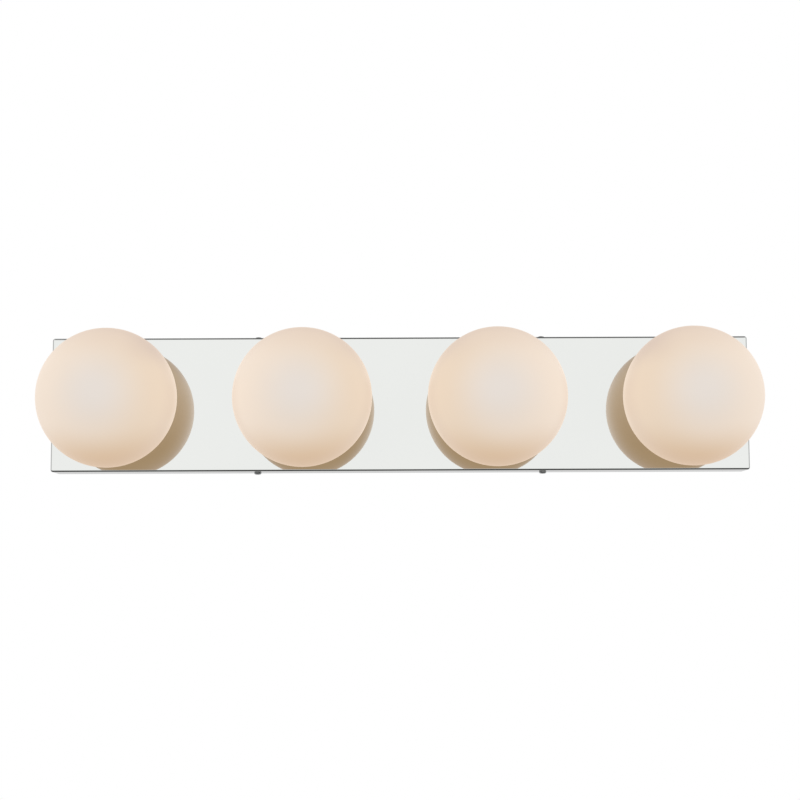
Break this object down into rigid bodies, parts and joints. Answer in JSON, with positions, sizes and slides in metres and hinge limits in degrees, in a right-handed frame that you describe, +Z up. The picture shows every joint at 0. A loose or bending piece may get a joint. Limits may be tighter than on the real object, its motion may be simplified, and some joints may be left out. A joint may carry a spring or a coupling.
{
  "type": "vanity light bar",
  "caption": "Long mirror-finish wall bar light: a shallow folded pan with a row of opal glass globes set close against it over capsule lamps.",
  "frame": {"origin": "centre of the wall face: the plane where the bracket's back lies on the wall, in the middle of the wiring hole", "axes": "+X along the bar, to the right as seen from the room; +Y into the wall, so the globes face -Y; +Z up"},
  "size_m": [0.79, 0.1895, 0.1588],
  "materials": {
    "mirror_chrome": "mirror-polished plating on folded steel",
    "opal_glass": "satin opal glass, lit from inside",
    "zinc_steel": "zinc-plated sheet",
    "cup_steel": "bright nickel plate",
    "spring_steel": "tempered strip",
    "plain_steel": "plain steel hardware",
    "silicone": "translucent white silicone",
    "steatite": "unglazed cream steatite",
    "contact_nickel": "nickel-plated contact strip",
    "yellow_brass": "turned brass",
    "quartz": "clear quartz, with a faint frost",
    "pinched_quartz": "pressed quartz",
    "pin_wire": "nickel wire",
    "tungsten": "drawn tungsten",
    "black_insulation": "black silicone insulation",
    "white_insulation": "white silicone insulation",
    "green_insulation": "green insulation",
    "orange_plastic": "moulded plastic",
    "green_plastic": "moulded plastic",
    "green_zinc": "green-dyed zinc plate"
  },
  "bodies": {
    "fixture": {"front_pan": "mirror_chrome", "wall_bracket": "zinc_steel", "side_screws": "mirror_chrome", "clip_rivets": "plain_steel", "nipples": "yellow_brass", "lock_washers": "plain_steel", "locknuts": "yellow_brass", "black_leads": "black_insulation", "white_leads": "white_insulation", "black_wire_nut": "orange_plastic", "white_wire_nut": "orange_plastic", "ground_screw": "green_zinc", "ground_terminal": "contact_nickel", "ground_lead": "green_insulation", "ground_wire_nut": "green_plastic", "globe_seat_1": "silicone", "globe_cup_1": "cup_steel", "globe_clips_1": "spring_steel", "lamp_holder_1": "steatite", "contacts_1": "contact_nickel", "globe_seat_2": "silicone", "globe_cup_2": "cup_steel", "globe_clips_2": "spring_steel", "lamp_holder_2": "steatite", "contacts_2": "contact_nickel", "globe_seat_3": "silicone", "globe_cup_3": "cup_steel", "globe_clips_3": "spring_steel", "lamp_holder_3": "steatite", "contacts_3": "contact_nickel", "globe_seat_4": "silicone", "globe_cup_4": "cup_steel", "globe_clips_4": "spring_steel", "lamp_holder_4": "steatite", "contacts_4": "contact_nickel"},
    "globe_1": {"globe_1": "opal_glass"},
    "lamp_1": {"lamp_capsule_1": "quartz", "lamp_base_1": "pinched_quartz", "lamp_pins_1": "pin_wire", "filament_1": "tungsten"},
    "globe_2": {"globe_2": "opal_glass"},
    "lamp_2": {"lamp_capsule_2": "quartz", "lamp_base_2": "pinched_quartz", "lamp_pins_2": "pin_wire", "filament_2": "tungsten"},
    "globe_3": {"globe_3": "opal_glass"},
    "lamp_3": {"lamp_capsule_3": "quartz", "lamp_base_3": "pinched_quartz", "lamp_pins_3": "pin_wire", "filament_3": "tungsten"},
    "globe_4": {"globe_4": "opal_glass"},
    "lamp_4": {"lamp_capsule_4": "quartz", "lamp_base_4": "pinched_quartz", "lamp_pins_4": "pin_wire", "filament_4": "tungsten"}
  },
  "joints": [
    {"name": "globe_1_pull", "type": "slide", "parent": "fixture", "child": "globe_1", "axis": [0, -1, 0], "range_m": [0, 0.1], "deforming": ["globe_clips_1"]},
    {"name": "globe_2_pull", "type": "slide", "parent": "fixture", "child": "globe_2", "axis": [0, -1, 0], "range_m": [0, 0.1], "deforming": ["globe_clips_2"]},
    {"name": "globe_3_pull", "type": "slide", "parent": "fixture", "child": "globe_3", "axis": [0, -1, 0], "range_m": [0, 0.1], "deforming": ["globe_clips_3"]},
    {"name": "globe_4_pull", "type": "slide", "parent": "fixture", "child": "globe_4", "axis": [0, -1, 0], "range_m": [0, 0.1], "deforming": ["globe_clips_4"]},
    {"name": "lamp_1_pull", "type": "slide", "parent": "fixture", "child": "lamp_1", "axis": [0, -1, 0], "range_m": [0, 0.02]},
    {"name": "lamp_2_pull", "type": "slide", "parent": "fixture", "child": "lamp_2", "axis": [0, -1, 0], "range_m": [0, 0.02]},
    {"name": "lamp_3_pull", "type": "slide", "parent": "fixture", "child": "lamp_3", "axis": [0, -1, 0], "range_m": [0, 0.02]},
    {"name": "lamp_4_pull", "type": "slide", "parent": "fixture", "child": "lamp_4", "axis": [0, -1, 0], "range_m": [0, 0.02]}
  ]
}
